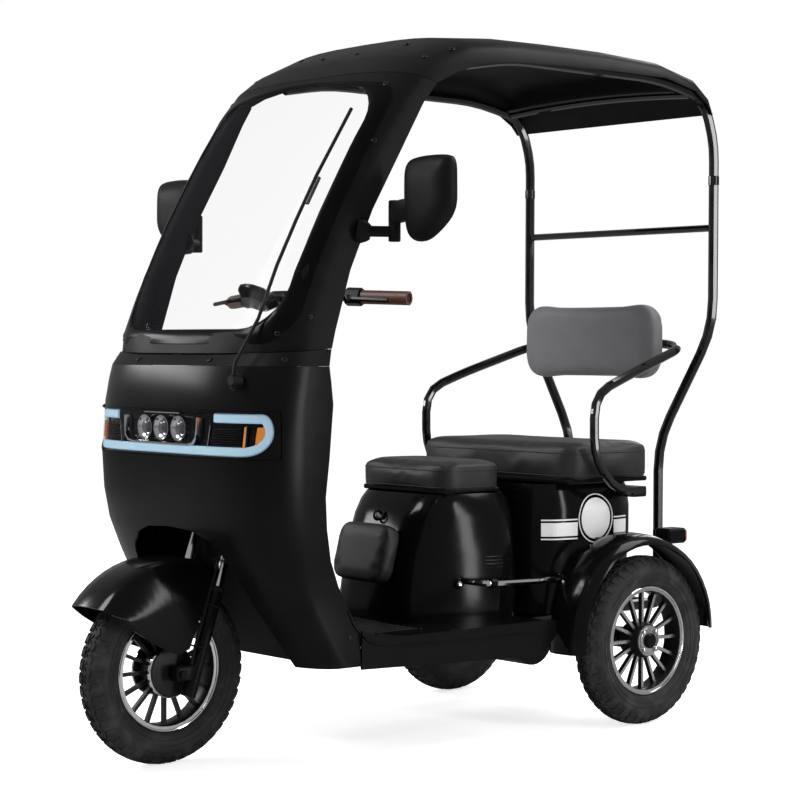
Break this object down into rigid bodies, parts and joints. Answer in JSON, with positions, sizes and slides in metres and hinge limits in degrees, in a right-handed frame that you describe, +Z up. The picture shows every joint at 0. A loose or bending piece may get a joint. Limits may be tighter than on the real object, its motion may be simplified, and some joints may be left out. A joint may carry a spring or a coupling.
{
  "type": "electric tricycle with a roof",
  "caption": "Electric tricycle with a windshield, a hard roof on tube uprights, a flat footboard, a single front seat and a rear bench with armrests.",
  "frame": {"origin": "on the ground, at the middle of the overall length and width", "axes": "+Z up, -Y forward, +X to the rider's left"},
  "size_m": [1.085, 1.6875, 1.662],
  "materials": {
    "gloss_black": "gloss",
    "satin_black": "satin",
    "charcoal": "fine grain",
    "frame_paint": "semi gloss",
    "vinyl": "grained vinyl",
    "rubber": "matt",
    "tyre": "matt",
    "grip": "ribbed",
    "chrome": "polished",
    "alloy": "machined",
    "dark_metal": "painted dark",
    "windshield": "clear",
    "lamp": "gloss",
    "tail_lamp": "gloss"
  },
  "bodies": {
    "chassis": {"front_shell": "satin_black", "headlamp_unit": "lamp", "cowl_strip": "charcoal", "windshield_frame": "charcoal", "windshield": "windshield", "wiper": "rubber", "dash_panel": "charcoal", "inner_leg_shield": "satin_black", "wheel_arch_liner": "rubber", "roof_shell": "charcoal", "roof_crossbar": "frame_paint", "upright_left": "frame_paint", "upright_right": "frame_paint", "upright_crossbar": "frame_paint", "armrest_hoop": "frame_paint", "backrest": "vinyl", "backrest_plate": "dark_metal", "seat_box": "gloss_black", "rear_box": "gloss_black", "battery_block": "dark_metal", "front_pad": "vinyl", "floor_tray": "satin_black", "main_frame": "frame_paint", "drive_axle": "dark_metal", "side_rail_left": "chrome", "side_rail_right": "chrome", "rear_fender_left": "gloss_black", "rear_fender_right": "gloss_black", "fender_bracket_left": "dark_metal", "fender_bracket_right": "dark_metal", "tail_lamp_left": "tail_lamp", "tail_lamp_right": "tail_lamp", "mirror_left": "satin_black", "mirror_right": "satin_black"},
    "steering": {"fork": "chrome", "handlebar": "frame_paint", "instrument_pod": "satin_black", "grip_left": "grip", "grip_right": "grip", "hand_control_left": "satin_black", "hand_control_right": "satin_black", "front_fender": "gloss_black"},
    "front_wheel": {"front_tyre": "tyre", "front_rim": "dark_metal"},
    "rear_wheel_left": {"rear_tyre_left": "tyre", "rear_rim_left": "alloy"},
    "rear_wheel_right": {"rear_tyre_right": "tyre", "rear_rim_right": "alloy"},
    "front_seat_lid": {"front_seat": "vinyl", "front_seat_pan": "satin_black"},
    "rear_bench_lid": {"rear_bench": "vinyl", "rear_bench_pan": "satin_black"}
  },
  "joints": [
    {"name": "steer", "type": "hinge", "parent": "chassis", "child": "steering", "pos_m": [0, -0.41627, 0.67], "axis": [0, 0.319, 0.9478], "range_deg": [-27, 27]},
    {"name": "front_wheel_spin", "type": "hinge", "parent": "steering", "child": "front_wheel", "pos_m": [0, -0.63575, 0.208], "axis": [1, 0, 0], "continuous": true},
    {"name": "rear_wheel_left_spin", "type": "hinge", "parent": "chassis", "child": "rear_wheel_left", "pos_m": [0.3415, 0.55025, 0.208], "axis": [1, 0, 0], "continuous": true},
    {"name": "rear_wheel_right_spin", "type": "hinge", "parent": "chassis", "child": "rear_wheel_right", "pos_m": [-0.3415, 0.55025, 0.208], "axis": [1, 0, 0], "continuous": true},
    {"name": "front_seat_lid_hinge", "type": "hinge", "parent": "chassis", "child": "front_seat_lid", "pos_m": [0, 0.06425, 0.58], "axis": [1, 0, 0], "range_deg": [0, 75]},
    {"name": "rear_bench_lid_hinge", "type": "hinge", "parent": "chassis", "child": "rear_bench_lid", "pos_m": [0, 0.36425, 0.6], "axis": [1, 0, 0], "range_deg": [0, 55]}
  ]
}
